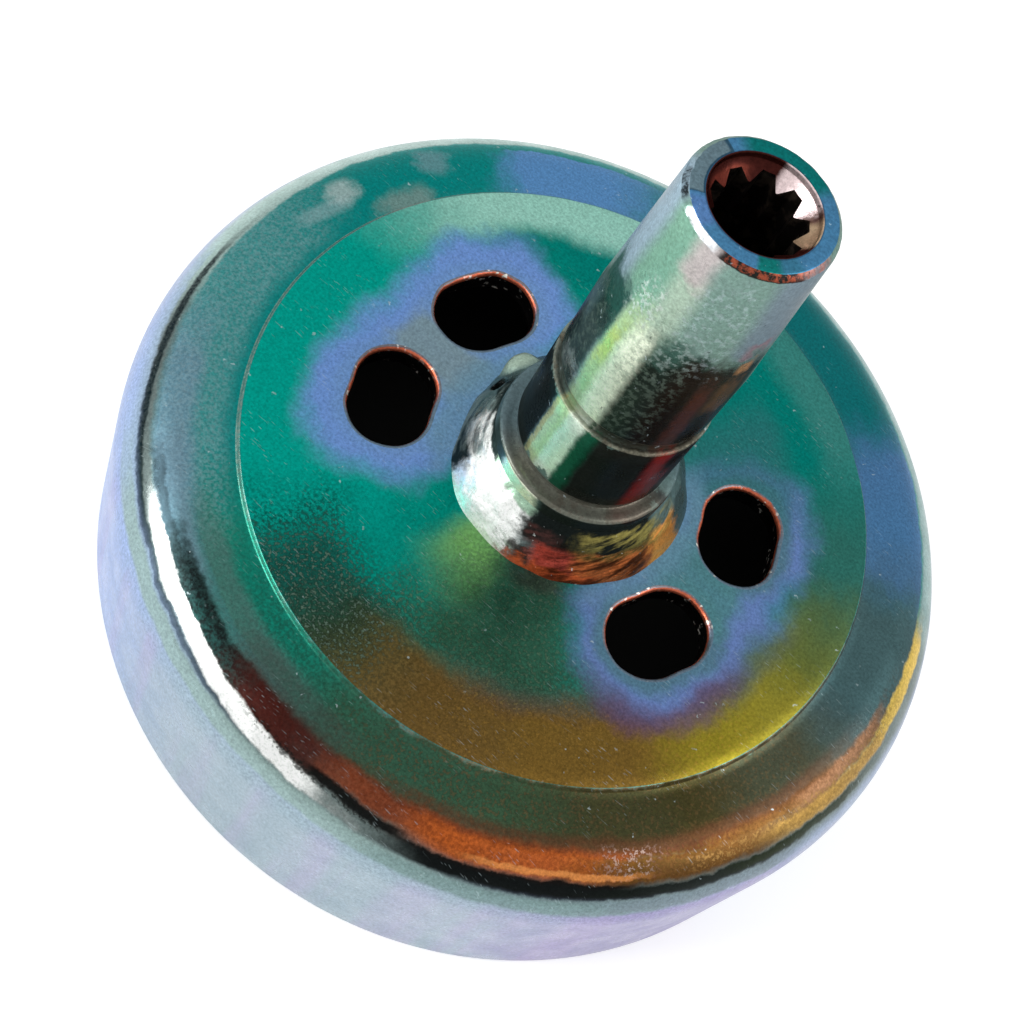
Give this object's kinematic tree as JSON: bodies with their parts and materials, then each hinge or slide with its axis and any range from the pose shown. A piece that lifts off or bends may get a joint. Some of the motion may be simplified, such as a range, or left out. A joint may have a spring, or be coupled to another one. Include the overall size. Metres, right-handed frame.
{
  "type": "brush cutter clutch drum",
  "caption": "Plated steel clutch drum: a pressed cup with access holes, welded to a hollow shaft with a bearing seat, a ring groove and a splined socket.",
  "frame": {"origin": "middle of the cup's open rim, on the plane that the rim rests on", "axes": "+Z along the shaft, from the rim towards the splined end; +X through the middle of one pair of access holes"},
  "size_m": [0.083, 0.083, 0.0663],
  "materials": {
    "plated_cup": "iridescent yellow-passivated zinc plating on pressed sheet",
    "plated_shaft": "iridescent yellow-passivated zinc plating on turned steel",
    "plated_weld": "plated weld metal with fine ripples"
  },
  "bodies": {
    "root": {"drum_cup": "plated_cup", "splined_shaft": "plated_shaft", "weld_bead": "plated_weld"}
  },
  "joints": []
}
